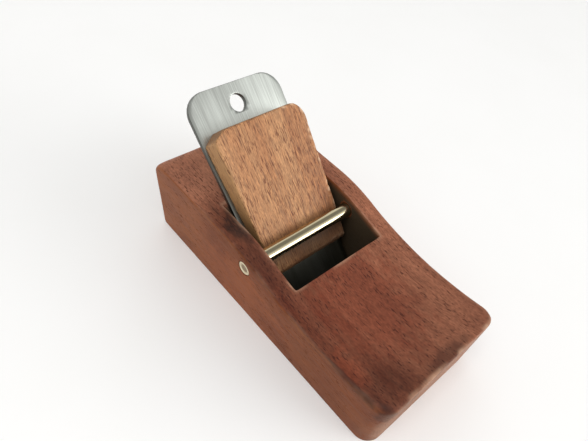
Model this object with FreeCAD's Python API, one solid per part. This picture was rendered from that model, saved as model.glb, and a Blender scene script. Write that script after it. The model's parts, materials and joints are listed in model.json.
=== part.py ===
import FreeCAD, Part
import math
import os

# Small wooden hand plane. Millimetres, +Z up, +X towards the toe.
# The origin is the centre of the sole.

# ---- body block
body_length = 100.0
body_width = 46.0
heel_height = 27.0
waist_height = 20.7        # lowest place of the top, in front of the throat
crest_x = -14.0            # the level heel ends here
waist_x = 28.5
waist_radius = 95.0        # hollow sweep of the top
heel_round = 5.0           # upper rear edge
toe_corner_radius = 5.0    # upright corners at the toe
edge_round = 1.2           # eased edges round the top and up the heel

# ---- throat and bed
bed_angle = 45.0           # blade to sole, degrees
throat_width = 33.0
edge_x = 6.2               # cutting edge, level with the sole
mouth_gap = 1.5            # from the cutting edge to the front wall, at the sole
front_wall_lean = 4.5      # degrees forward from upright

# ---- blade
blade_width = 31.0
blade_length = 69.0
blade_thickness = 1.6
blade_corner_radius = 6.0
bevel_angle = 25.0
blade_hole_diameter = 5.0
blade_hole_from_top = 5.6

# ---- cross pin
pin_diameter = 4.5
pin_x = -4.8
pin_z = 21.4
pin_chamfer = 0.35

# ---- wedge
wedge_width = 30.4
wedge_taper = 5.5          # degrees between its two broad faces
wedge_tip = 14.5           # distance up the blade from the cutting edge
wedge_top = 58.0
wedge_corner_chamfer = 4.2
wedge_corner_blend = 3.0
wedge_edge_round = 0.6
wedge_tip_chamfer = 1.2

# ---- fits
slide_gap = 0.05           # between faces that slide on each other
overcut = 1.0              # how far a cutting tool runs past the block


def onto_bed(shape):
    """Turn a piece made flat (X up the blade, Z square to it) onto the bed."""
    placed = shape.copy()
    placed.rotate(FreeCAD.Vector(0, 0, 0), FreeCAD.Vector(0, 0, 1), 180)
    placed.rotate(FreeCAD.Vector(0, 0, 0), FreeCAD.Vector(0, 1, 0), bed_angle)
    placed.translate(FreeCAD.Vector(edge_x, 0, 0))
    return placed


def prism_across(points, width):
    """Solid between y = -width/2 and +width/2 with a straight-sided outline in the XZ plane."""
    outline = Part.Face(Part.makePolygon(points + points[:1]))
    outline.translate(FreeCAD.Vector(0, -width / 2, 0))
    return outline.extrude(FreeCAD.Vector(0, width, 0))


def edges_where(shape, wanted):
    return [edge for edge in shape.Edges if wanted(edge.BoundBox)]


def side_outline():
    """Outline of the block from the side: flat sole, round heel, S-curved top."""
    half = body_length / 2
    drop = heel_height - waist_height
    run = waist_x - crest_x
    turn = 2 * math.atan2(drop, run)
    crest_radius = run / math.sin(turn) - waist_radius

    def on_crest(angle):
        return FreeCAD.Vector(crest_x + crest_radius * math.sin(angle), 0,
                              heel_height - crest_radius * (1 - math.cos(angle)))

    def on_waist(angle):
        return FreeCAD.Vector(waist_x + waist_radius * math.sin(angle), 0,
                              waist_height + waist_radius * (1 - math.cos(angle)))

    toe_angle = math.asin((half - waist_x) / waist_radius)
    slant = heel_round * (1 - math.cos(math.radians(45)))
    toe_sole = FreeCAD.Vector(half, 0, 0)
    heel_sole = FreeCAD.Vector(-half, 0, 0)
    heel_back = FreeCAD.Vector(-half, 0, heel_height - heel_round)
    heel_top = FreeCAD.Vector(-half + heel_round, 0, heel_height)
    heel_middle = FreeCAD.Vector(-half + slant, 0, heel_height - slant)
    edges = [
        Part.LineSegment(heel_sole, toe_sole),
        Part.LineSegment(toe_sole, on_waist(toe_angle)),
        Part.Arc(on_waist(toe_angle), on_waist(0), on_waist(-turn)),
        Part.Arc(on_crest(turn), on_crest(turn / 2), on_crest(0)),
        Part.LineSegment(on_crest(0), heel_top),
        Part.Arc(heel_top, heel_middle, heel_back),
        Part.LineSegment(heel_back, heel_sole),
    ]
    return Part.Wire([edge.toShape() for edge in edges])


def body_block():
    """The block before the throat is cut, with its toe corners rounded and its top edges eased."""
    side = Part.Face(side_outline())
    side.translate(FreeCAD.Vector(0, -body_width / 2, 0))
    block = side.extrude(FreeCAD.Vector(0, body_width, 0))

    near_toe = body_length / 2 - 0.01
    upright = edges_where(block, lambda b: b.XMin > near_toe and b.YLength < 0.01 and b.ZLength > 1)
    block = block.makeFillet(toe_corner_radius, upright)

    def is_eased(b):
        on_sole = b.ZMax < 0.01
        across_top = b.YLength > body_width / 2 and b.XMax < near_toe
        toe_upright = b.XMin > 0 and b.XLength < 0.01 and b.YLength < 0.01
        return not (on_sole or across_top or toe_upright)

    return block.makeFillet(edge_round, edges_where(block, is_eased))


def throat_cut():
    """Space cut through the block: steep front wall, and a bed that slopes back under the blade."""
    slope = math.radians(bed_angle)
    bed_x = edge_x - (blade_thickness + slide_gap) / math.sin(slope)
    wall_x = edge_x + mouth_gap
    low = -overcut
    high = heel_height + overcut

    def on_wall(z):
        return FreeCAD.Vector(wall_x + z * math.tan(math.radians(front_wall_lean)), 0, z)

    def on_bed(z):
        return FreeCAD.Vector(bed_x - z / math.tan(slope), 0, z)

    return prism_across([on_wall(low), on_wall(high), on_bed(high), on_bed(low)], throat_width)


def pin_cylinder(length):
    start = FreeCAD.Vector(pin_x, -length / 2, pin_z)
    return Part.makeCylinder(pin_diameter / 2, length, start, FreeCAD.Vector(0, 1, 0))


def plane_body():
    block = body_block().cut(throat_cut())
    return block.cut(pin_cylinder(body_width + 2 * overcut)).removeSplitter()


def cross_pin():
    pin = pin_cylinder(body_width)
    rims = edges_where(pin, lambda b: b.YLength < 0.01)
    return pin.makeChamfer(pin_chamfer, rims)


def blade():
    """Flat iron. Its upper face is z = 0 while it lies flat, and the bevel is ground underneath."""
    bevel_length = blade_thickness / math.tan(math.radians(bevel_angle))
    iron = prism_across([
        FreeCAD.Vector(0, 0, 0),
        FreeCAD.Vector(blade_length, 0, 0),
        FreeCAD.Vector(blade_length, 0, -blade_thickness),
        FreeCAD.Vector(bevel_length, 0, -blade_thickness),
    ], blade_width)
    corners = edges_where(iron, lambda b: b.XMin > blade_length - 0.01 and b.YLength < 0.01)
    iron = iron.makeFillet(blade_corner_radius, corners)
    hole_start = FreeCAD.Vector(blade_length - blade_hole_from_top, 0, -2 * blade_thickness)
    hole = Part.makeCylinder(blade_hole_diameter / 2, 3 * blade_thickness, hole_start)
    return onto_bed(iron.cut(hole))


def wedge():
    """Tapered wedge lying on the blade. Its upper face just clears the pin."""
    slope = math.radians(bed_angle)
    taper = math.radians(wedge_taper)
    pin_along = (edge_x - pin_x) * math.cos(slope) + pin_z * math.sin(slope)
    pin_above = (pin_x - edge_x) * math.sin(slope) + pin_z * math.cos(slope)
    under_pin = pin_above - (pin_diameter / 2 + slide_gap) / math.cos(taper)

    def thickness_at(along):
        return under_pin + (along - pin_along) * math.tan(taper)

    chamfer_start = wedge_tip + wedge_tip_chamfer
    block = prism_across([
        FreeCAD.Vector(wedge_tip, 0, slide_gap),
        FreeCAD.Vector(wedge_top, 0, slide_gap),
        FreeCAD.Vector(wedge_top, 0, thickness_at(wedge_top)),
        FreeCAD.Vector(chamfer_start, 0, thickness_at(chamfer_start)),
        FreeCAD.Vector(wedge_tip, 0, thickness_at(wedge_tip) - wedge_tip_chamfer),
    ], wedge_width)
    near_top = wedge_top - 0.01
    corners = edges_where(block, lambda b: b.XMin > near_top and b.YLength < 0.01)
    block = block.makeChamfer(wedge_corner_chamfer, corners)

    corner_zone = wedge_top - 2 * wedge_corner_chamfer
    uprights = edges_where(block, lambda b: b.XMin > corner_zone and max(b.XLength, b.YLength) < 0.01)
    block = block.makeFillet(wedge_corner_blend, uprights)

    broad_faces = sorted(block.Faces, key=lambda face: face.Area)[-2:]
    upper_face = max(broad_faces, key=lambda face: face.CenterOfMass.z)
    past_tip = chamfer_start + 0.01
    rim = [edge for edge in upper_face.Edges if edge.BoundBox.XMax > past_tip]
    return onto_bed(block.makeFillet(wedge_edge_round, rim))


def main():
    os.makedirs("parts", exist_ok=True)
    pieces = {
        "plane_body": plane_body(),
        "cross_pin": cross_pin(),
        "blade": blade(),
        "wedge": wedge(),
    }
    for name, shape in pieces.items():
        shape.exportStep(f"parts/{name}.step")
        box = shape.BoundBox
        print(name, "solids", len(shape.Solids), "valid", shape.isValid(), "volume", round(shape.Volume, 1),
              "from", [round(v, 2) for v in (box.XMin, box.YMin, box.ZMin)],
              "to", [round(v, 2) for v in (box.XMax, box.YMax, box.ZMax)])


main()
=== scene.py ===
import json
import math

import bmesh
import bpy
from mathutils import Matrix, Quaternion, Vector, noise


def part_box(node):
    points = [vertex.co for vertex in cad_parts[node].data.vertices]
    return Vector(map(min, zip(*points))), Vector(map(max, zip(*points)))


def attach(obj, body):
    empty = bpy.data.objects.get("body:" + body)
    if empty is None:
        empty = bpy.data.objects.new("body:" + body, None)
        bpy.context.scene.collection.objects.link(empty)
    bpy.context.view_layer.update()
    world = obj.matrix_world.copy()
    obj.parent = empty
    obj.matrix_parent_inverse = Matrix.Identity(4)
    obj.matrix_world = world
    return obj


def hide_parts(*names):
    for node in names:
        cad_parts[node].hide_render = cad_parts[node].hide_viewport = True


# Small wooden hand plane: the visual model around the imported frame.
# Metres. The sole is z = 0, +X points to the toe and +Y goes across.

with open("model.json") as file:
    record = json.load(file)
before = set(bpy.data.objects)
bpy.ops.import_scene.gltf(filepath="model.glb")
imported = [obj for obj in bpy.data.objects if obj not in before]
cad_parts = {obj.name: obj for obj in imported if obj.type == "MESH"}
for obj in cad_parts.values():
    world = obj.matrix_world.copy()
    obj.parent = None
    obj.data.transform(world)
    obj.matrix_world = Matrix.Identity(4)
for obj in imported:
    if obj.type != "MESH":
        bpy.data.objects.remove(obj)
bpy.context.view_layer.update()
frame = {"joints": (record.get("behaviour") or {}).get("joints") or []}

MM = 0.001
corner_steps = 8
edge_steps = 4

# ---- places and sizes from the frame
block_low, block_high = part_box("plane_body")
pin_low, pin_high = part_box("cross_pin")
blade_low, blade_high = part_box("blade")
wedge_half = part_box("wedge")[1].y
slide = next(joint for joint in frame["joints"] if joint["name"] == "blade_slide")
up_blade = Vector(slide["axis"]).normalized()
off_blade = Vector((up_blade.z, 0, -up_blade.x))
cutting_edge = Vector((blade_high.x, 0, blade_low.z))
pin_axis = (pin_low + pin_high) / 2
pin_radius = (pin_high.z - pin_low.z) / 2
pin_along = (pin_axis - cutting_edge).dot(up_blade)

# ---- body block
crest_x = -14.0 * MM
waist_x = 28.5 * MM
waist_height = 20.7 * MM
waist_radius = 95.0 * MM
heel_round = 5.0 * MM
heel_corner_radius = 1.2 * MM
toe_corner_radius = 5.0 * MM
edge_round = 1.2 * MM
sole_edge = 0.3 * MM
throat_half = 16.5 * MM
throat_rim = 0.35 * MM
mouth_front_x = 7.7 * MM
mouth_edge = 0.15 * MM
throat_front_height = 25 * MM
front_wall_lean = math.radians(4.5)
pin_hole_gap = 0.12 * MM
worn_corners = ((block_high.x - 3 * MM, 2.0 * MM), (block_low.x + 2 * MM, 1.3 * MM))
worn_reach = 9 * MM
# Depths under the top over which the throat's painted shade comes in.
throat_shade_start = 0.2 * MM
throat_shade_full = 1.5 * MM

# ---- blade
blade_length = (blade_high.z - blade_low.z) / up_blade.z
blade_thickness = 1.6 * MM
blade_corner_radius = 6.0 * MM
blade_bevel = math.radians(25)
edge_land = 0.03 * MM
edge_easing = 0.08 * MM
blade_hole_radius = 2.5 * MM
blade_hole_along = blade_length - 5.6 * MM

# ---- wedge
wedge_tip = 14.5 * MM
wedge_top = 58.0 * MM
wedge_taper = math.radians(4.2)
wedge_under_pin = 5.05 * MM
wedge_corner = 4.2 * MM
wedge_flat_corner = (3.9 * MM, 2.3 * MM)
wedge_narrowing = 1.7 * MM
wedge_rim = 0.7 * MM
slide_gap = 0.05 * MM

# ---- pin ends
pin_chamfer = 0.35 * MM
pin_dish_radius = 1.45 * MM
pin_dish_depth = 0.3 * MM
pin_segments = 72

# ---- camera
camera_place = Vector((54.94, -68.64, 123.62)) * MM
camera_target = Vector((9.91, -7.60, 20.0)) * MM
camera_roll = math.radians(14.15)
camera_lens = 28.08
camera_shift = (-0.0442, 0.1012)
floor_half = 4.0


# ------------------------------------------------------------------ mesh helpers

def spread(start, *stretches):
    """Stations from start: each (end, cells) stretch is divided into equal cells."""
    stations = [start]
    for end, cells in stretches:
        begin = stations[-1]
        stations += [begin + (end - begin) * n / cells for n in range(1, cells + 1)]
    return stations


def quarter_arc(steps):
    """Angles from 0 to a quarter turn."""
    return [math.pi / 2 * n / steps for n in range(steps + 1)]


def rounded_insets(radius):
    """How far a rounded edge is set in, from its start on the flat to full radius."""
    return [radius * (1 - math.cos(angle)) for angle in quarter_arc(edge_steps)]


def ring_of(i0, i1, j0, j1):
    """Lattice corners round a rectangle, in order."""
    return ([(i, j0) for i in range(i0, i1)] + [(i1, j) for j in range(j0, j1)]
            + [(i, j1) for i in range(i1, i0, -1)] + [(i0, j) for j in range(j1, j0, -1)])


def lattice_shell(cells, place, tunnel=None):
    """Closed skin of quads round a lattice of cells, with a tunnel (i0, i1, j0, j1) along k if given.

    place(i, j, k) is the position of a lattice corner.
    """
    across_i, across_j, across_k = cells
    bm = bmesh.new()
    made = {}

    def corner(key):
        if key not in made:
            made[key] = bm.verts.new(place(*key))
        return made[key]

    def quad(*keys):
        bm.faces.new([corner(key) for key in keys])

    def in_tunnel(i, j):
        return tunnel and tunnel[0] <= i < tunnel[1] and tunnel[2] <= j < tunnel[3]

    for i in range(across_i):
        for j in range(across_j):
            if not in_tunnel(i, j):
                quad(*[(i + a, j + b, across_k) for a, b in ((0, 0), (1, 0), (1, 1), (0, 1))])
                quad(*[(i + a, j + b, 0) for a, b in ((0, 0), (0, 1), (1, 1), (1, 0))])
    rings = [ring_of(0, across_i, 0, across_j)]
    if tunnel:
        rings.append(ring_of(*tunnel)[::-1])
    for ring in rings:
        for here, after in zip(ring, ring[1:] + ring[:1]):
            for k in range(across_k):
                quad((*here, k), (*after, k), (*after, k + 1), (*here, k + 1))
    bmesh.ops.remove_doubles(bm, verts=bm.verts, dist=0.002 * MM)
    bmesh.ops.recalc_face_normals(bm, faces=bm.faces)
    return bm


def lathe_shell(profile, segments, origin):
    """Skin turned about the Y axis through origin, from a list of (y, radius) with closed ends."""
    bm = bmesh.new()
    rings = []
    for y, radius in profile:
        turns = [2 * math.pi * n / segments for n in range(segments)]
        spots = [origin + Vector((radius * math.cos(a), y, radius * math.sin(a))) for a in turns]
        rings.append([bm.verts.new(spot) for spot in spots])
    for ring, following in zip(rings, rings[1:]):
        for n in range(segments):
            after = (n + 1) % segments
            bm.faces.new((ring[n], ring[after], following[after], following[n]))
    bm.faces.new(rings[0][::-1])
    bm.faces.new(rings[-1])
    bmesh.ops.recalc_face_normals(bm, faces=bm.faces)
    return bm


def crease_inner_corners(bm, least=math.radians(30)):
    """Keep the hollow corners crisp when the mesh is subdivided."""
    layer = bm.edges.layers.float.new("crease_edge")
    for edge in bm.edges:
        if len(edge.link_faces) == 2 and edge.calc_face_angle_signed() < -least:
            edge[layer] = 1.0


def make_object(name, bm):
    mesh = bpy.data.meshes.new(name)
    bm.to_mesh(mesh)
    bm.free()
    piece = bpy.data.objects.new(name, mesh)
    bpy.context.scene.collection.objects.link(piece)
    return piece


def settle(piece):
    """Replace the mesh with what its modifiers make of it."""
    graph = bpy.context.evaluated_depsgraph_get()
    finished = bpy.data.meshes.new_from_object(piece.evaluated_get(graph))
    piece.modifiers.clear()
    piece.data = finished


def cut_hole(piece, start, end, radius, segments=64):
    """Drill a round hole from start to end."""
    bm = bmesh.new()
    way = end - start
    bmesh.ops.create_cone(bm, cap_ends=True, segments=segments, radius1=radius, radius2=radius,
                          depth=way.length)
    turn = way.to_track_quat("Z", "Y")
    for vert in bm.verts:
        vert.co = turn @ vert.co + (start + end) / 2
    drill = make_object("drill", bm)
    cut = piece.modifiers.new("hole", "BOOLEAN")
    cut.operation = "DIFFERENCE"
    cut.solver = "EXACT"
    cut.object = drill
    settle(piece)
    bpy.data.objects.remove(drill)
    clean_mesh(piece)


def clean_mesh(piece, least=0.004 * MM):
    """Drop slivers left by a cut and split its many-sided faces."""
    bm = bmesh.new()
    bm.from_mesh(piece.data)
    bmesh.ops.remove_doubles(bm, verts=bm.verts, dist=least)
    bmesh.ops.dissolve_degenerate(bm, dist=least, edges=bm.edges)
    bmesh.ops.triangulate(bm, faces=[face for face in bm.faces if len(face.verts) > 4])
    bm.to_mesh(piece.data)
    bm.free()


def ease_edges(piece, width, wanted):
    """Round off the sharp edges that lie wholly where they are wanted."""
    bm = bmesh.new()
    bm.from_mesh(piece.data)
    sharp = [edge for edge in bm.edges if edge.calc_face_angle(0.0) > math.radians(50)
             and all(wanted(vert.co) for vert in edge.verts)]
    bmesh.ops.bevel(bm, geom=sharp, offset=width, segments=2, profile=0.5, affect="EDGES", clamp_overlap=True)
    bm.to_mesh(piece.data)
    bm.free()


def subdivide(piece, levels):
    smooth = piece.modifiers.new("smooth", "SUBSURF")
    smooth.levels = levels
    smooth.render_levels = levels
    settle(piece)


def weather(piece, depth, size, nick_depth=0.0, nick_size=1.0):
    """Sink the surface a little by smooth noise, and bite small nicks into its outer edges."""
    bm = bmesh.new()
    bm.from_mesh(piece.data)
    bm.normal_update()
    moves = []
    for vert in bm.verts:
        sink = depth * (0.5 + 0.5 * noise.noise(vert.co / size))
        outward = sum(max(0.0, edge.calc_face_angle_signed(0.0)) for edge in vert.link_edges)
        bite = max(0.0, noise.noise(vert.co / nick_size) - 0.15)
        moves.append(sink + nick_depth * bite * min(1.0, outward / math.radians(30)))
    for vert, move in zip(bm.verts, moves):
        vert.co -= vert.normal * move
    bm.to_mesh(piece.data)
    bm.free()


def mark_edges(piece, full=math.radians(24)):
    """Store how strongly the surface turns outward at each point, for worn edges in the material."""
    bm = bmesh.new()
    bm.from_mesh(piece.data)
    layer = bm.verts.layers.float.new("edge_wear")
    for vert in bm.verts:
        turn = sum(edge.calc_face_angle_signed(0.0) for edge in vert.link_edges)
        vert[layer] = min(1.0, max(0.0, turn / full))
    bm.to_mesh(piece.data)
    bm.free()


def shade(piece, sharp_from=math.radians(38)):
    piece.data.shade_smooth()
    piece.data.set_sharp_from_angle(angle=sharp_from)


# ------------------------------------------------------------------ body block

def block_top(x):
    """Height of the block's top: rounded heel, level, then an S-curve down to the hollow."""
    heel_axis = block_low.x + heel_round
    if x < heel_axis:
        reach = min(heel_round, heel_axis - x)
        return block_high.z - heel_round + math.sqrt(heel_round ** 2 - reach ** 2)
    run = waist_x - crest_x
    turn = 2 * math.atan2(block_high.z - waist_height, run)
    crest_radius = run / math.sin(turn) - waist_radius
    if x < crest_x:
        return block_high.z
    if x < crest_x + crest_radius * math.sin(turn):
        return block_high.z - crest_radius + math.sqrt(crest_radius ** 2 - (x - crest_x) ** 2)
    return waist_height + waist_radius - math.sqrt(waist_radius ** 2 - (x - waist_x) ** 2)


def half_width(x):
    """Half the block's width at x, with its upright corners rounded."""
    def tucked(past, radius):
        return block_high.y - radius + math.sqrt(radius ** 2 - min(past, radius) ** 2)

    to_toe = x - (block_high.x - toe_corner_radius)
    to_heel = block_low.x + heel_corner_radius - x
    if to_toe > 0:
        return tucked(to_toe, toe_corner_radius)
    if to_heel > 0:
        return tucked(to_heel, heel_corner_radius)
    return block_high.y


def rounding_at(x, y):
    """Radius of the top edge: uneven by hand, and rubbed away at the two near corners."""
    uneven = edge_round * (1 + 0.3 * noise.noise(Vector((x, y, 0)) / (14 * MM)))
    uneven *= 0.65 if x > block_high.x - 1.5 * MM or y < 0 else 1.0
    worn = 0.0
    for corner_x, most in worn_corners:
        away = Vector((x - corner_x, y - block_low.y - 2.5 * MM)).length
        nearness = max(0.0, 1 - away / worn_reach)
        worn += most * nearness ** 2 * (3 - 2 * nearness)
    return uneven + worn


def edge_drop(x, y):
    """How far the top falls away at its rounded outer edge."""
    radius = rounding_at(x, y)
    toe_x, toe_y = block_high.x - toe_corner_radius, block_high.y - toe_corner_radius
    if x > toe_x and abs(y) > toe_y:
        inside = toe_corner_radius - math.hypot(x - toe_x, abs(y) - toe_y)
    else:
        inside = min(half_width(x) - abs(y), block_high.x - x)
    reach = min(radius, max(0.0, radius - inside))
    return radius - math.sqrt(radius ** 2 - reach ** 2)


def body_mesh():
    """Block with its throat, as a lattice that fans in from the wide throat to the narrow mouth."""
    arc = quarter_arc(corner_steps)
    bed_top_x = cutting_edge.x - blade_thickness / off_blade.z - block_high.z
    bed_sole_x = bed_top_x + block_high.z
    front_top_x = mouth_front_x + throat_front_height * math.tan(front_wall_lean)
    heel = [block_low.x + heel_round * (1 - math.cos(angle)) for angle in arc]
    toe = [block_high.x - toe_corner_radius * (1 - math.sin(angle)) for angle in arc]
    heel_cells, throat_cells, toe_cells = 12, 24, 20

    def stations(back, front, rim):
        """Places along the block, with a narrow cell on each side of the opening from back to front."""
        middle = spread(heel[-1], (back - rim, heel_cells), (back, 1), (front, throat_cells),
                        (front + rim, 1), (toe[0], toe_cells))
        return heel[:-1] + middle + toe[1:]

    on_top = stations(bed_top_x, front_top_x, throat_rim)
    on_sole = stations(bed_sole_x, mouth_front_x, mouth_edge)
    first = len(heel) + heel_cells
    last = first + throat_cells

    outer = [block_high.y - inset for inset in rounded_insets(edge_round)]
    side = outer[:-1] + spread(outer[-1], (throat_half + throat_rim, 4), (throat_half, 1))
    across = [-y for y in side] + spread(-throat_half, (throat_half, throat_cells))[1:-1] + side[::-1]
    left = len(side) - 1
    right = left + throat_cells

    rows = 12

    def height_share(k, height):
        lowest = sole_edge / height
        return 0.0 if k == 0 else lowest + (1 - lowest) * (k - 1) / (rows - 1)

    def on_rim(i, j):
        return (i in (first, last) and left <= j <= right) or (j in (left, right) and first <= i <= last)

    def corner(i, j, k):
        x, y = on_top[i], across[j]
        y *= half_width(x) / block_high.y
        height = block_top(x) - edge_drop(x, y)
        share = height_share(k, height)
        point = Vector((on_sole[i] + (x - on_sole[i]) * share, y, height * share))
        if on_rim(i, j) and k in (0, rows):
            # ease the rim of the throat and, much less, of the mouth
            ease = throat_rim * (0.35 + 0.25 * noise.noise(point / (5 * MM))) if k == rows else 0.04 * MM
            point.x += ease * ((i == last) - (i == first))
            point.y += ease * ((j == right) - (j == left))
            point.z += ease if k == 0 else -ease
        if k == 0 and (i in (0, len(on_top) - 1) or j in (0, len(across) - 1)):
            ease = 0.3 * sole_edge
            point.x -= ease * ((i == len(on_top) - 1) - (i == 0))
            point.y -= ease * ((j == len(across) - 1) - (j == 0))
            point.z += ease
        return point

    return lattice_shell((len(on_top) - 1, len(across) - 1, rows), corner, (first, last, left, right))


def mark_throat(body):
    """Store how deep each point of the throat's walls lies under the top, for the painted shade inside."""
    bm = bmesh.new()
    bm.from_mesh(body.data)
    layer = bm.verts.layers.float.new("throat_depth")
    bed_x = cutting_edge.x - blade_thickness / off_blade.z
    for vert in bm.verts:
        x, y, z = vert.co
        behind_bed = x < bed_x - z - 0.3 * MM
        past_front = x > mouth_front_x + z * math.tan(front_wall_lean) + 0.3 * MM
        outside = behind_bed or past_front or abs(y) > throat_half + 0.3 * MM
        depth = block_top(x) - z
        vert[layer] = 0.0 if outside else min(1.0, max(0.0, depth - throat_shade_start) / throat_shade_full)
    bm.to_mesh(body.data)
    bm.free()


def make_body():
    bm = body_mesh()
    crease_inner_corners(bm)
    body = make_object("body_block", bm)
    subdivide(body, 1)
    weather(body, 0.07 * MM, 11 * MM, nick_depth=0.08 * MM, nick_size=3.1 * MM)
    mark_edges(body)
    mark_throat(body)
    beyond = Vector((0, block_high.y + MM, 0))
    cut_hole(body, pin_axis - beyond, pin_axis + beyond, pin_radius + pin_hole_gap)
    shade(body)
    return body


# ------------------------------------------------------------------ blade, wedge and pin

def on_slope(along, across, off):
    """A place measured up the blade from its cutting edge, across it, and square off its upper face."""
    return cutting_edge + up_blade * along + Vector((0, across, 0)) + off_blade * off


def make_blade():
    half = blade_high.y
    arc = quarter_arc(corner_steps)
    bevel_length = blade_thickness / math.tan(blade_bevel)
    top = [blade_length - blade_corner_radius * (1 - math.sin(angle)) for angle in arc]
    along = spread(0.0, (bevel_length, 4), (top[0], 48)) + top[1:]
    across = spread(-half, (half, 26))

    def corner(i, j, k):
        s = along[i] if k == 1 else max(along[i], edge_land)
        past = min(blade_corner_radius, max(0.0, s - top[0]))
        width = half - blade_corner_radius + math.sqrt(blade_corner_radius ** 2 - past ** 2)
        depth = min(blade_thickness, edge_land + (s - edge_land) * math.tan(blade_bevel))
        return on_slope(s, across[j] * width / half, 0.0 if k == 1 else -depth)

    blade = make_object("blade_iron", lattice_shell((len(along) - 1, len(across) - 1, 1), corner))
    cut_hole(blade, on_slope(blade_hole_along, 0, 3 * MM), on_slope(blade_hole_along, 0, -5 * MM),
             blade_hole_radius)
    ease_edges(blade, edge_easing, lambda spot: (spot - cutting_edge).dot(up_blade) > 0.5 * bevel_length)
    clean_mesh(blade)
    mark_edges(blade)
    shade(blade)
    return blade


def wedge_half_width(past, side):
    """Half width of the wedge this far below its top edge: cut flat on one corner, round on the other."""
    half = wedge_half
    if side < 0:
        cut = max(0.0, 1 - past / wedge_flat_corner[1]) * wedge_flat_corner[0]
        return half - cut - wedge_narrowing * past / (wedge_top - wedge_tip)
    short = max(0.0, wedge_corner - past)
    flat = half - short
    round_in = half - wedge_corner + math.sqrt(max(0.0, wedge_corner ** 2 - short ** 2))
    return flat + (round_in - flat) * 0.8


def make_wedge():
    half = wedge_half
    arc = quarter_arc(corner_steps)
    corner_end = wedge_top - wedge_corner
    upper = [wedge_top - wedge_corner * (1 - math.sin(angle)) for angle in arc]
    tip_chamfer = 1.2 * MM
    along = spread(wedge_tip, (wedge_tip + tip_chamfer, 4), (corner_end, 40)) + upper[1:]
    side = [half - inset for inset in rounded_insets(wedge_rim)]
    across = [-y for y in side] + spread(-side[-1], (side[-1], 24))[1:-1] + side[::-1]
    rows = 6

    def corner(i, j, k):
        s, y = along[i], across[j]
        width = wedge_half_width(wedge_top - s, y)
        y *= width / half
        thick = wedge_under_pin + (s - pin_along) * math.tan(wedge_taper)
        inside = min(width - abs(y), wedge_top - s)
        radius = wedge_rim * (1 + 0.5 * noise.noise(Vector((s, y, 0)) / (5 * MM)))
        reach = min(radius, max(0.0, radius - inside))
        thick -= radius - math.sqrt(radius ** 2 - reach ** 2)
        thick -= max(0.0, wedge_tip + tip_chamfer - s)
        return on_slope(s, y, slide_gap + (thick - slide_gap) * k / rows)

    bm = lattice_shell((len(along) - 1, len(across) - 1, rows), corner)
    wedge = make_object("wedge_block", bm)
    subdivide(wedge, 1)
    weather(wedge, 0.05 * MM, 7 * MM, nick_depth=0.5 * MM, nick_size=1.6 * MM)
    mark_edges(wedge)
    shade(wedge)
    return wedge


def make_pin():
    """Round bar with chamfered rims and shallow dished ends."""
    half = pin_high.y
    shaft = pin_radius
    end = [
        (half - pin_dish_depth, 0.35 * pin_dish_radius),
        (half - pin_dish_depth, 0.75 * pin_dish_radius),
        (half - 0.6 * pin_dish_depth, pin_dish_radius),
        (half - 0.1 * pin_dish_depth, 1.15 * pin_dish_radius),
        (half, 1.25 * pin_dish_radius),
        (half - 0.4 * pin_chamfer, shaft - 0.3 * pin_chamfer),
        (half - pin_chamfer, shaft),
    ]
    shaft_rings = [(y, shaft) for y in spread(-half + pin_chamfer, (half - pin_chamfer, 24))[1:-1]]
    profile = [(-y, radius) for y, radius in end] + shaft_rings + end[::-1]
    pin = make_object("pin_bar", lathe_shell(profile, pin_segments, Vector((pin_axis.x, 0, pin_axis.z))))
    mark_edges(pin)
    shade(pin)
    return pin


# ------------------------------------------------------------------ materials

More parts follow.
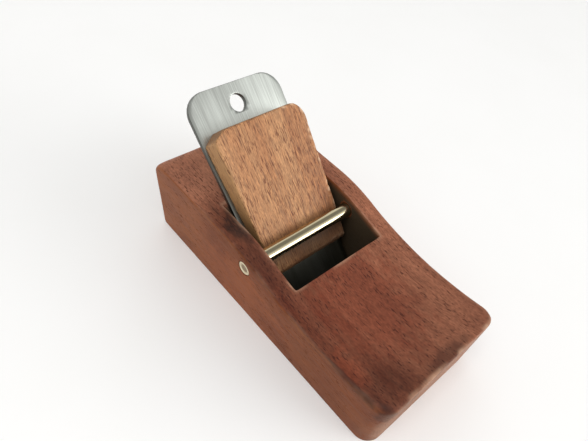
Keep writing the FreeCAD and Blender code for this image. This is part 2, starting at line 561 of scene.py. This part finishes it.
class Nodes:
    """A material whose node tree is built in a few short calls."""

    def __init__(self, name):
        self.material = bpy.data.materials.new(name)
        self.material.use_nodes = True
        self.tree = self.material.node_tree
        self.tree.nodes.clear()

    def add(self, kind, inputs=None, output=0, **settings):
        node = self.tree.nodes.new("ShaderNode" + kind)
        for name, value in settings.items():
            setattr(node, name, value)
        for name, value in (inputs or {}).items():
            if isinstance(value, bpy.types.NodeSocket):
                self.tree.links.new(value, node.inputs[name])
            else:
                node.inputs[name].default_value = value
        return node.outputs[output] if node.outputs else None

    def position(self):
        """Place in the frame of the piece."""
        return self.add("TexCoord", output=3)

    def normal(self):
        return self.add("TexCoord", output=1)

    def axis(self, vector, index):
        """One part of a vector: 0, 1 or 2 for X, Y or Z."""
        return self.add("SeparateXYZ", {"Vector": vector}, output=index)

    def stored(self, name):
        """Value that the mesh stores at each point."""
        return self.add("Attribute", output=2, attribute_name=name)

    def math(self, operation, first, second=0.0, clamp=False):
        return self.add("Math", {0: first, 1: second}, operation=operation, use_clamp=clamp)

    def noise(self, coords, stretch, detail=2.0, roughness=0.5):
        """Noise with stretch cells per millimetre along each axis."""
        scaled = self.add("Mapping", {"Vector": coords, "Scale": [1000 * s for s in stretch]})
        return self.add("TexNoise", {"Vector": scaled, "Scale": 1.0, "Detail": detail,
                                     "Roughness": roughness})

    def between(self, value, low, high, to_low=0.0, to_high=1.0, smooth=True):
        return self.add("MapRange", {"Value": value, "From Min": low, "From Max": high, "To Min": to_low,
                                     "To Max": to_high},
                        interpolation_type="SMOOTHSTEP" if smooth else "LINEAR")

    def blend(self, share, first, second, mode="MIX"):
        node = self.tree.nodes.new("ShaderNodeMix")
        node.data_type = "RGBA"
        node.blend_type = mode
        sockets = {s.identifier: s for s in node.inputs}
        for key, value in (("Factor_Float", share), ("A_Color", first), ("B_Color", second)):
            if isinstance(value, bpy.types.NodeSocket):
                self.tree.links.new(value, sockets[key])
            else:
                sockets[key].default_value = value
        return next(s for s in node.outputs if s.identifier == "Result_Color")

    def spot(self, coords, centre, radii, ragged):
        """Soft patch, 1 at its centre and 0 outside, with its border broken up by the ragged noise."""
        away = self.add("VectorMath", {0: coords, 1: centre}, operation="SUBTRACT")
        scaled = self.add("VectorMath", {0: away, 1: [1 / r for r in radii]}, operation="MULTIPLY")
        length = self.add("VectorMath", {0: scaled}, output=1, operation="LENGTH")
        broken = self.math("ADD", length, self.math("MULTIPLY", self.math("SUBTRACT", ragged, 0.5), 1.2))
        return self.between(broken, 1.0, 0.35)

    def finish(self, inputs):
        """Principled shader with these inputs, to the output."""
        self.add("OutputMaterial", {"Surface": self.add("BsdfPrincipled", inputs)})
        return self.material


def colour(red, green, blue):
    """Linear colour from the usual 0 to 255 values."""
    def linear(value):
        value /= 255
        return value / 12.92 if value <= 0.04045 else ((value + 0.055) / 1.055) ** 2.4
    return (linear(red), linear(green), linear(blue), 1.0)


def wood_grain(nodes, coords, pore_start, pore_stretch):
    """Bands, fibres and open pores that run along X of coords, as three values from 0 to 1."""
    sway = nodes.noise(coords, (0.02, 0.05, 0.05), detail=1.0)
    offset = nodes.add("CombineXYZ", {"Y": nodes.math("MULTIPLY", sway, 3 * MM),
                                      "Z": nodes.math("MULTIPLY", sway, 2 * MM)})
    bent = nodes.add("VectorMath", {0: coords, 1: offset}, operation="ADD")
    bands = nodes.noise(bent, (0.012, 0.16, 0.16), detail=3.0, roughness=0.6)
    fibres = nodes.noise(bent, (0.10, 2.4, 2.4), detail=2.0, roughness=0.6)
    streaks = nodes.noise(bent, pore_stretch, detail=1.5, roughness=0.55)
    clusters = nodes.noise(bent, (0.03, 0.22, 0.22), detail=1.0)
    raised = nodes.math("ADD", streaks, nodes.math("MULTIPLY", nodes.math("SUBTRACT", clusters, 0.5), 0.22))
    pores = nodes.between(raised, pore_start, pore_start + 0.07)
    return bands, fibres, pores


def wood_bump(nodes, fibres, pores, strength):
    depth = nodes.math("SUBTRACT", nodes.math("MULTIPLY", fibres, 0.35), pores)
    return nodes.add("Bump", {"Height": depth, "Strength": strength, "Distance": 0.12 * MM})


def darkened(nodes, base, value):
    """Base colour times a value."""
    grey = nodes.add("CombineColor", {"Red": value, "Green": value, "Blue": value})
    return nodes.blend(1.0, base, grey, "MULTIPLY")


def body_tone(nodes, coords, on_side, grain, ragged, speckle):
    """Colour of the wood: darker on top, more orange on its sides, redder in places, with painted light:
    paler toward +Y, a paler patch on the near side, and a toe face paler partly from its end grain.
    """
    bands, fibres, pores = grain
    along = nodes.axis(coords, 0)
    across = nodes.axis(coords, 1)
    # Painted sheen: the wood is painted paler toward +Y, standing in for light from that side. It is also
    # made paler toward the heel.
    painted_sheen_across = nodes.between(across, block_low.y, block_high.y, -0.3, 0.3, smooth=False)
    paler_heel = nodes.between(along, -18 * MM, -36 * MM, 0.0, 0.9)
    paler = nodes.math("ADD", painted_sheen_across, paler_heel)
    tint = nodes.math("ADD", nodes.between(bands, 0.1, 0.9, smooth=False), paler, clamp=True)
    top = nodes.blend(tint, colour(82, 34, 19), colour(162, 106, 80))
    side = nodes.blend(tint, colour(118, 62, 31), colour(143, 84, 49))
    base = nodes.blend(on_side, top, side)

    toe_red = nodes.spot(coords, (35 * MM, -20 * MM, 21 * MM), (8 * MM, 3.5 * MM, 3 * MM), ragged)
    red_front = nodes.spot(coords, (23 * MM, -3 * MM, 21 * MM), (26 * MM, 19 * MM, 6 * MM), ragged)
    # Painted light: a paler patch over the middle of the near side, standing in for light on that face.
    painted_side_light = nodes.spot(coords, (-6 * MM, -23 * MM, 9 * MM), (28 * MM, 4 * MM, 17 * MM), ragged)
    patches = (
        (red_front, 0.45, colour(120, 50, 31)),
        (toe_red, 0.4, colour(144, 68, 42)),
        (painted_side_light, 0.4, colour(168, 96, 58)),
    )
    for mask, share, patch_colour in patches:
        base = nodes.blend(nodes.math("MULTIPLY", mask, share), base, patch_colour)

    mottle = nodes.noise(coords, (0.07, 0.12, 0.12), detail=3.0)
    base = nodes.blend(nodes.between(mottle, 0.35, 0.75, 0.0, 0.35), base, colour(88, 40, 28))
    base = darkened(nodes, base, nodes.between(fibres, 0.3, 0.7, 0.88, 1.1, smooth=False))
    contrast = nodes.between(on_side, 0.0, 1.0, 1.0, 0.35)
    uneven = nodes.between(speckle, 0.3, 0.7, -0.24, 0.2, smooth=False)
    base = darkened(nodes, base, nodes.math("ADD", nodes.math("MULTIPLY", uneven, contrast), 1.0))
    # The toe face is made paler: partly its pale end grain, partly painted light falling on it from beyond
    # the toe.
    toe_grain_and_light = nodes.between(nodes.axis(nodes.normal(), 0), 0.6, 0.95, 0.0, 0.32)
    base = nodes.blend(toe_grain_and_light, base, colour(172, 134, 104))
    pore_share = nodes.math("MULTIPLY", pores, nodes.between(on_side, 0.0, 1.0, 0.7, 0.35))
    return nodes.blend(pore_share, base, colour(56, 26, 20))


def body_stains(nodes, coords, base, ragged, speckle, worn_corner):
    """Painted shade on the toe and along the near rail, then dark handling marks: a stain beside the throat,
    a smudge and rubbed places.
    """
    # Painted shade: the top is darkened near the toe's near corner and along the near rail.
    toe_shade = nodes.spot(coords, (44 * MM, -15 * MM, 21 * MM), (9 * MM, 9 * MM, 4 * MM), ragged)
    rail_shade = nodes.spot(coords, (-3 * MM, -20 * MM, 25 * MM), (24 * MM, 4.5 * MM, 4.5 * MM), ragged)
    toe_share = nodes.math("MULTIPLY", toe_shade, 0.35)
    rail_share = nodes.math("MULTIPLY", rail_shade, 0.45)
    shaded = nodes.math("MAXIMUM", toe_share, rail_share)
    base = nodes.blend(shaded, base, colour(50, 25, 17))
    stain = nodes.spot(coords, (-16 * MM, -18.2 * MM, 27 * MM), (10 * MM, 3.4 * MM, 3 * MM), ragged)
    smudge = nodes.spot(coords, (48.5 * MM, 2 * MM, 22.5 * MM), (3.4 * MM, 12 * MM, 2.5 * MM), ragged)
    rub_line = nodes.spot(coords, (37 * MM, -22.4 * MM, 21 * MM), (14 * MM, 0.8 * MM, 2.2 * MM), ragged)
    for mask, share in ((stain, 0.95), (smudge, 0.5), (rub_line, 0.65), (worn_corner, 0.6)):
        flecked = nodes.math("MULTIPLY", mask, nodes.between(speckle, 0.3, 0.65, 0.6 * share, share))
        base = nodes.blend(flecked, base, colour(42, 28, 24))
    return base


def body_wear(nodes, coords, base, worn_corner):
    """Pale rubbed edges beside the throat and along the toe."""
    patches = nodes.noise(coords, (0.12, 0.12, 0.12), detail=2.0)
    rubbed = nodes.math("MULTIPLY", nodes.stored("edge_wear"), nodes.between(patches, 0.4, 0.65))
    rubbed = nodes.math("MULTIPLY", rubbed, nodes.math("SUBTRACT", 1.0, worn_corner))
    from_middle = nodes.math("ABSOLUTE", nodes.axis(coords, 1))
    at_throat = nodes.between(from_middle, throat_half + 2 * MM, throat_half + MM, 0.14, 0.5)
    at_toe = nodes.between(nodes.axis(coords, 0), 47.5 * MM, 49 * MM, 0.0, 0.3)
    share = nodes.math("ADD", at_throat, at_toe)
    return nodes.blend(nodes.math("MULTIPLY", rubbed, share), base, colour(180, 142, 116))


def body_wood():
    """Oiled dark red-brown hardwood, with stains, painted shade on the top, rubbed edges and painted shade
    deep in the throat.
    """
    nodes = Nodes("body_wood_oiled")
    coords = nodes.position()
    on_side = nodes.between(nodes.math("ABSOLUTE", nodes.axis(nodes.normal(), 1)), 0.45, 0.9)
    grain = wood_grain(nodes, coords, 0.60, (0.42, 2.9, 2.9))
    fibres, pores = grain[1:]
    ragged = nodes.noise(coords, (0.25, 0.5, 0.5), detail=3.0)
    speckle = nodes.noise(coords, (0.9, 2.2, 2.2), detail=2.0)
    worn_corner = nodes.spot(coords, (48.5 * MM, -21 * MM, 19.5 * MM), (4.2 * MM, 3.6 * MM, 4.5 * MM), ragged)
    base = body_tone(nodes, coords, on_side, grain, ragged, speckle)
    base = body_stains(nodes, coords, base, ragged, speckle, worn_corner)
    base = body_wear(nodes, coords, base, worn_corner)
    # Painted shade: the throat's walls are darkened the deeper they lie under the top.
    base = nodes.blend(nodes.math("MULTIPLY", nodes.stored("throat_depth"), 0.92), base, colour(58, 54, 42))
    fibre_rough = nodes.between(fibres, 0.3, 0.7, 0.46, 0.6)
    rough = nodes.math("MAXIMUM", fibre_rough, nodes.math("MULTIPLY", pores, 0.8))
    return nodes.finish({"Base Color": base, "Roughness": rough, "Specular IOR Level": 0.15,
                         "Normal": wood_bump(nodes, fibres, pores, 0.4)})


def up_slope(nodes):
    """Coordinates whose X is the distance up the blade from its cutting edge."""
    placed = nodes.position()
    turn = math.atan2(up_blade.z, up_blade.x)
    return nodes.add("Mapping", {"Vector": placed, "Rotation": (0, turn, 0),
                                 "Location": (-up_blade.dot(cutting_edge), 0, 0)})


def wedge_wood():
    """Bare tan hardwood with fine reddish pores, painted lighter on its −Y face, with grime and painted shade
    at its lower end and a painted shadow of the pin.
    """
    nodes = Nodes("wedge_wood_bare")
    coords = up_slope(nodes)
    parts = nodes.axis(coords, 0)
    across = nodes.axis(coords, 1)
    bands, fibres, pores = wood_grain(nodes, coords, 0.57, (0.28, 3.8, 3.8))
    tint = nodes.between(bands, 0.3, 0.7, smooth=False)
    base = nodes.blend(tint, colour(156, 104, 68), colour(182, 136, 95))
    base = darkened(nodes, base, nodes.between(fibres, 0.3, 0.7, 0.7, 1.26, smooth=False))
    speckle = nodes.noise(coords, (1.0, 3.4, 3.4), detail=2.0)
    base = darkened(nodes, base, nodes.between(speckle, 0.3, 0.7, 0.78, 1.18, smooth=False))
    normal = nodes.normal()
    facing = nodes.axis(normal, 1)
    # Painted light: the face toward −Y is painted lighter to make up for the smaller share of light it gets.
    painted_light_on_side = nodes.between(facing, -0.5, -0.95, 0.0, 0.65)
    base = nodes.blend(painted_light_on_side, base, colour(172, 132, 86))
    at_top = nodes.add("VectorMath", {0: normal, 1: up_blade}, output=1, operation="DOT_PRODUCT")
    base = nodes.blend(nodes.between(at_top, 0.45, 0.9, 0.0, 0.6), base, colour(110, 86, 56))
    base = nodes.blend(nodes.math("MULTIPLY", pores, 0.8), base, colour(96, 48, 30))
    ragged = nodes.noise(coords, (0.7, 0.7, 0.7), detail=3.0)
    wear = nodes.stored("edge_wear")
    rubbed = nodes.math("MULTIPLY", wear, nodes.between(ragged, 0.4, 0.65))
    rubbed = nodes.math("MULTIPLY", rubbed, nodes.between(across, -4 * MM, 12 * MM, 0.0, 0.6))
    base = nodes.blend(rubbed, base, colour(228, 196, 164))
    # Lower end darker: partly grime, partly painted shade where the pin and the throat shut out the light;
    # less dark toward −Y.
    grime_and_shade = nodes.between(parts, wedge_tip + 9 * MM, wedge_tip + 4 * MM)
    grime_and_shade = nodes.math("MULTIPLY", grime_and_shade, nodes.between(across, -12 * MM, 2 * MM, 0.2, 0.7))
    base = nodes.blend(grime_and_shade, base, colour(84, 60, 42))
    # Painted shadow of the pin: a soft dark band across the wedge round where the pin crosses it.
    above = nodes.between(parts, pin_along - 5.6 * MM, pin_along - 2.6 * MM)
    below = nodes.between(parts, pin_along + 4.0 * MM, pin_along + 0.5 * MM)
    pin_shadow = nodes.math("MULTIPLY", above, below)
    base = nodes.blend(nodes.math("MULTIPLY", pin_shadow, 0.42), base, colour(52, 34, 20))
    rough = nodes.between(fibres, 0.3, 0.7, 0.5, 0.68)
    return nodes.finish({"Base Color": base, "Roughness": rough, "Specular IOR Level": 0.3,
                         "Normal": wood_bump(nodes, fibres, pores, 0.5)})


def blade_steel():
    """Steel ground along its length, with fine scratches, a painted reflection, and painted shade on its
    rims, beside the wedge and at its lower end.
    """
    nodes = Nodes("blade_steel_ground")
    coords = up_slope(nodes)
    parts = nodes.axis(coords, 0)
    lines = nodes.noise(coords, (0.06, 5.0, 1.0), detail=3.0, roughness=0.7)
    clouds = nodes.noise(coords, (0.04, 0.12, 0.12), detail=2.0)
    tone = nodes.math("ADD", nodes.math("MULTIPLY", lines, 0.6), nodes.math("MULTIPLY", clouds, 0.4))
    across = nodes.axis(coords, 1)
    # Painted reflection: the steel is made brighter toward +Y and further down from its top end, on top of
    # its ground tone.
    painted_reflection_ramp = nodes.math("ADD", nodes.between(across, blade_low.y, blade_high.y, -0.3, 0.3, smooth=False),
                          nodes.between(parts, blade_length - 4 * MM, blade_length - 18 * MM, -0.15, 0.3))
    polish_and_reflection = nodes.math("ADD", nodes.between(tone, 0.35, 0.65, smooth=False), painted_reflection_ramp, clamp=True)
    base = nodes.blend(polish_and_reflection, colour(172, 175, 170), colour(222, 227, 221))
    # Painted shade: dark strips on the blade just beside the wedge, below its top.
    beside_wedge = nodes.between(nodes.math("ABSOLUTE", across), 13.4 * MM, 14.6 * MM, 0.0, 0.7)
    below_top = nodes.between(parts, wedge_top - MM, wedge_top - 6 * MM)
    base = nodes.blend(nodes.math("MULTIPLY", beside_wedge, below_top), base, colour(70, 70, 64))
    # Painted shade on the blade's lower end, down in the throat.
    dark_end = nodes.between(parts, 20 * MM, 12 * MM, 0.0, 0.7)
    base = nodes.blend(dark_end, base, colour(84, 88, 74))
    # Painted shade: the rims and the wall of the hole, faces that stand square to the blade, are painted
    # dark.
    off_face = nodes.add("VectorMath", {0: nodes.normal(), 1: off_blade}, output=1, operation="DOT_PRODUCT")
    on_rim = nodes.between(nodes.math("ABSOLUTE", off_face), 0.5, 0.2)
    base = nodes.blend(on_rim, base, colour(92, 93, 88))
    wear = nodes.stored("edge_wear")
    base = nodes.blend(nodes.math("MULTIPLY", wear, 0.55), base, colour(104, 106, 101))
    face_rough = nodes.between(tone, 0.35, 0.65, 0.28, 0.38)
    rough = nodes.math("ADD", face_rough, nodes.math("MULTIPLY", on_rim, 0.12))
    bump = nodes.add("Bump", {"Height": lines, "Strength": 0.1, "Distance": 0.02 * MM})
    return nodes.finish({"Base Color": base, "Roughness": rough, "Metallic": 1.0, "Normal": bump})


def pin_brass():
    """Pale polished brass, drawn along its length and duller in the dished ends."""
    nodes = Nodes("pin_brass_polished")
    coords = nodes.position()
    lines = nodes.noise(coords, (6.0, 0.15, 6.0), detail=2.0)
    clouds = nodes.noise(coords, (0.4, 0.4, 0.4), detail=2.0)
    along = nodes.axis(coords, 1)
    at_end = nodes.between(nodes.math("ABSOLUTE", along), pin_high.y - pin_dish_depth * 1.2,
                           pin_high.y - 0.4 * pin_dish_depth, 1.0, 0.0)
    facing = nodes.axis(nodes.normal(), 1)
    dished = nodes.math("MULTIPLY", at_end, nodes.between(nodes.math("ABSOLUTE", facing), 0.5, 0.9))
    base = nodes.blend(clouds, colour(212, 200, 164), colour(228, 219, 190))
    base = nodes.blend(nodes.math("MULTIPLY", at_end, 0.5), base, colour(140, 126, 98))
    base = nodes.blend(nodes.math("MULTIPLY", dished, 0.8), base, colour(122, 96, 74))
    line_rough = nodes.between(lines, 0.35, 0.65, 0.08, 0.17)
    rough = nodes.math("ADD", line_rough, nodes.math("MULTIPLY", dished, 0.3))
    bump = nodes.add("Bump", {"Height": lines, "Strength": 0.15, "Distance": 0.02 * MM})
    return nodes.finish({"Base Color": base, "Roughness": rough, "Metallic": 1.0, "Normal": bump})


def floor_paint():
    nodes = Nodes("floor_pale")
    coords = nodes.position()
    grain = nodes.noise(coords, (0.02, 0.02, 0.02), detail=2.0)
    base = nodes.blend(grain, colour(247, 247, 246), colour(251, 251, 251))
    return nodes.finish({"Base Color": base, "Roughness": 0.9, "Specular IOR Level": 0.1})


# ------------------------------------------------------------------ stage

def make_floor():
    bm = bmesh.new()
    bmesh.ops.create_grid(bm, x_segments=4, y_segments=4, size=floor_half)
    floor = make_object("floor", bm)
    floor.data.materials.append(floor_paint())


def make_light(name, place, target, size, power):
    data = bpy.data.lights.new(name, "AREA")
    data.shape = "RECTANGLE"
    data.size, data.size_y = size
    data.energy = power
    light = bpy.data.objects.new(name, data)
    light.location = place
    light.rotation_mode = "QUATERNION"
    light.rotation_quaternion = (Vector(target) - Vector(place)).to_track_quat("-Z", "Y")
    bpy.context.scene.collection.objects.link(light)


def make_sky():
    """Pale studio: brightest low down beyond the toe, bright again behind the heel, dimmer high up."""
    world = bpy.data.worlds.new("studio")
    bpy.context.scene.world = world
    world.use_nodes = True
    tree = world.node_tree
    direction = tree.nodes.new("ShaderNodeTexCoord")

    def zone(centre, border, core, outside, inside):
        """Strength that goes from outside to inside as the direction nears the centre."""
        nearness = tree.nodes.new("ShaderNodeVectorMath")
        nearness.operation = "DOT_PRODUCT"
        nearness.inputs[1].default_value = Vector(centre).normalized()
        fade = tree.nodes.new("ShaderNodeMapRange")
        fade.interpolation_type = "SMOOTHSTEP"
        limits = {"From Min": border, "From Max": core, "To Min": outside, "To Max": inside}
        for name, value in limits.items():
            fade.inputs[name].default_value = value
        tree.links.new(direction.outputs["Generated"], nearness.inputs[0])
        tree.links.new(nearness.outputs["Value"], fade.inputs["Value"])
        return fade.outputs["Result"]

    def product(first, second):
        times = tree.nodes.new("ShaderNodeMath")
        times.operation = "MULTIPLY"
        tree.links.new(first, times.inputs[0])
        tree.links.new(second, times.inputs[1])
        return times.outputs["Value"]

    low_glow = zone((0.85, 0.5, -0.1), 0.5, 0.95, 0.70, 1.75)
    high_shade = zone((0.0, 0.5, 0.86), 0.84, 0.97, 1.0, 0.5)
    back_glow = zone((-0.64, 0.5, 0.58), 0.90, 0.97, 1.0, 1.7)
    strength = product(product(low_glow, high_shade), back_glow)
    tree.links.new(strength, tree.nodes["Background"].inputs["Strength"])
    tree.nodes["Background"].inputs["Color"].default_value = (1.0, 0.995, 0.98, 1.0)


def make_surroundings():
    """The sky, one soft box overhead and one broad one low beyond the toe."""
    make_sky()
    aim = Vector((0.0, 0.0, 0.02))
    make_light("overhead_box", aim + 0.8 * Vector((0.1, -0.35, 0.93)), aim, (0.4, 0.4), 1.8)
    make_light("toe_box", aim + 2.1 * Vector((0.8, 0.5, 0.2)), aim, (1.35, 0.9), 18.0)
    bpy.context.scene.view_settings.view_transform = "Standard"


def make_camera():
    data = bpy.data.cameras.new("camera")
    data.lens = camera_lens
    data.shift_x, data.shift_y = camera_shift
    camera = bpy.data.objects.new("camera", data)
    camera.location = camera_place
    roll = Quaternion((0, 0, 1), camera_roll)
    camera.rotation_mode = "QUATERNION"
    camera.rotation_quaternion = (camera_target - camera_place).to_track_quat("-Z", "Y") @ roll
    bpy.context.scene.collection.objects.link(camera)
    bpy.context.scene.camera = camera


# ------------------------------------------------------------------ the object

def add_piece(piece, body, node, material):
    piece.data.materials.clear()
    piece.data.materials.append(material)
    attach(piece, body)
    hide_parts(node)


add_piece(make_body(), "stock", "plane_body", body_wood())
add_piece(make_pin(), "stock", "cross_pin", pin_brass())
add_piece(make_blade(), "iron", "blade", blade_steel())
add_piece(make_wedge(), "wedge", "wedge", wedge_wood())
make_floor()
make_surroundings()
make_camera()
